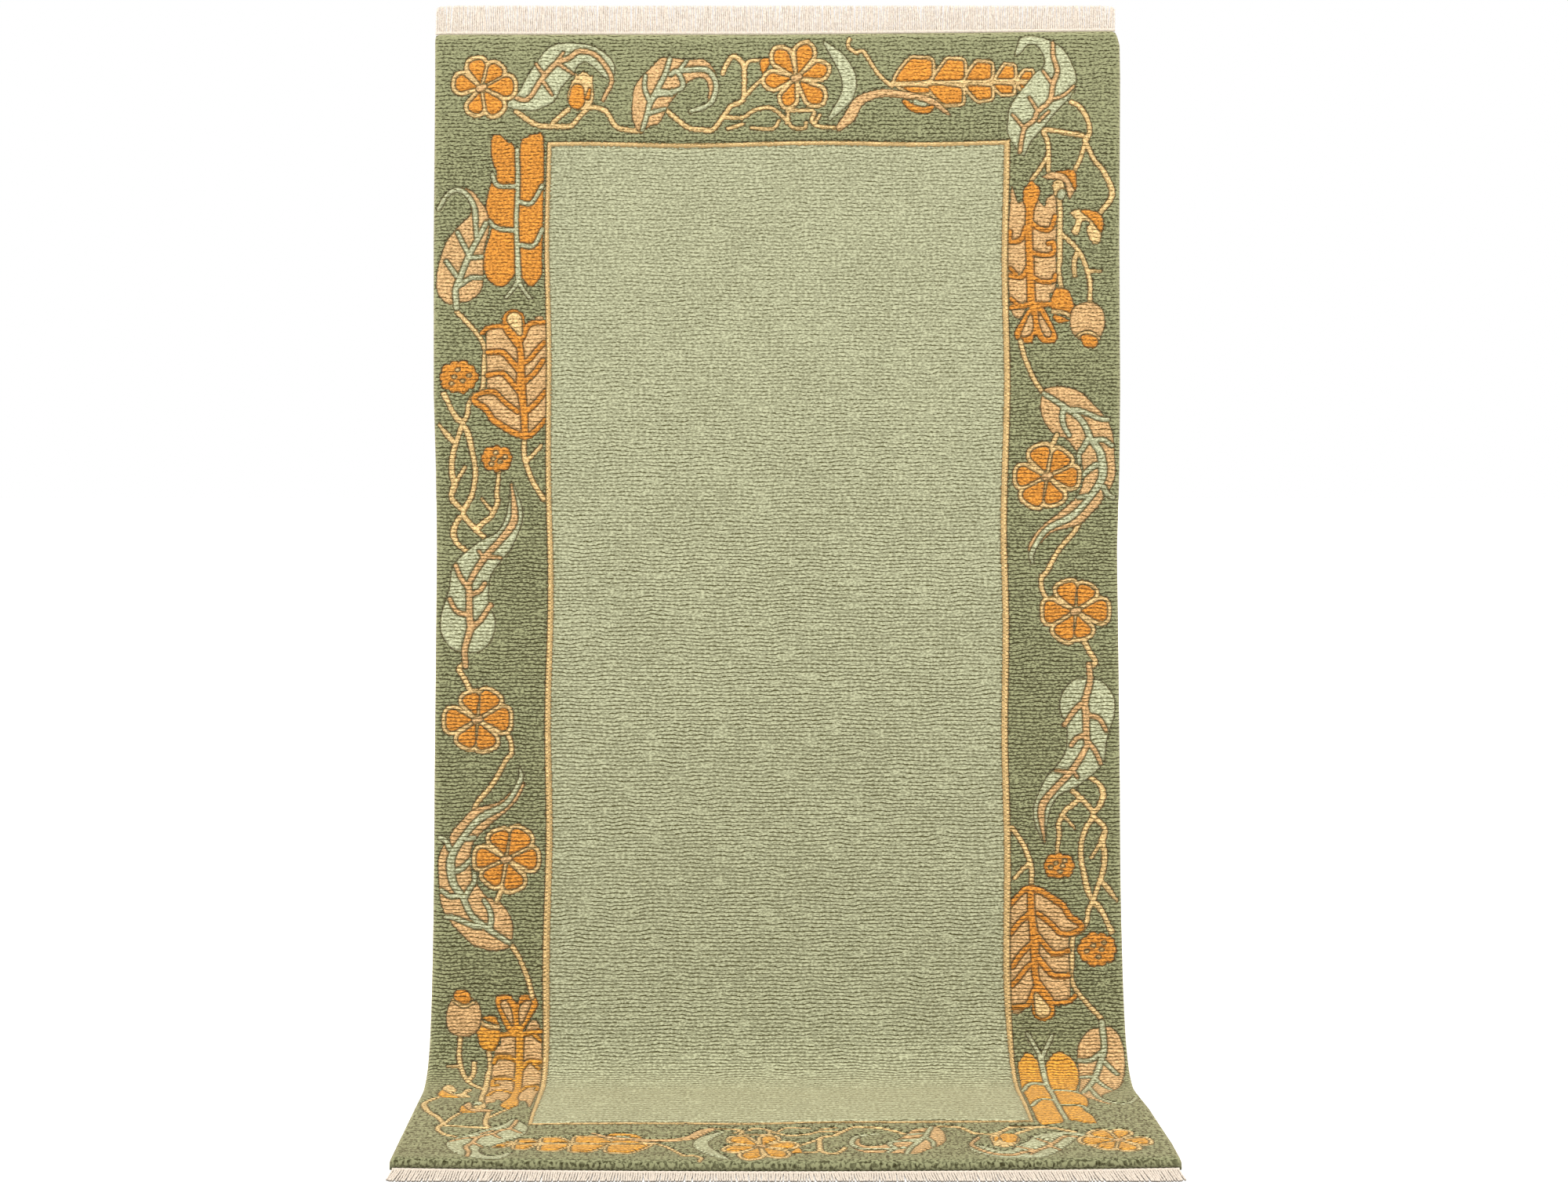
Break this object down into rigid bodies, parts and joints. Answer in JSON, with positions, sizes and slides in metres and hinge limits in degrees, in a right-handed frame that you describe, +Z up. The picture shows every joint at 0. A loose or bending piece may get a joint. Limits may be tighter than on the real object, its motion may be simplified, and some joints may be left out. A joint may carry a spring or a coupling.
{
  "type": "hanging floral runner rug",
  "caption": "Hand-knotted wool runner with a carved floral border and cotton fringes, hung upright by its head edge with the foot end turned out on the floor.",
  "frame": {"origin": "centre of the footprint on the floor, which the foot end lies on", "axes": "+Z up along the hanging rug; the face and the foot end point to -Y; +X is to the right as the face is seen"},
  "size_m": [0.9086, 0.4066, 1.405],
  "materials": {
    "sage_wool": "matte cut pile, carved along every colour",
    "fringe_cotton": "matte undyed cotton yarn"
  },
  "bodies": {
    "root": {"pile_rug": "sage_wool", "fringe_head": "fringe_cotton", "fringe_foot": "fringe_cotton"}
  },
  "joints": []
}
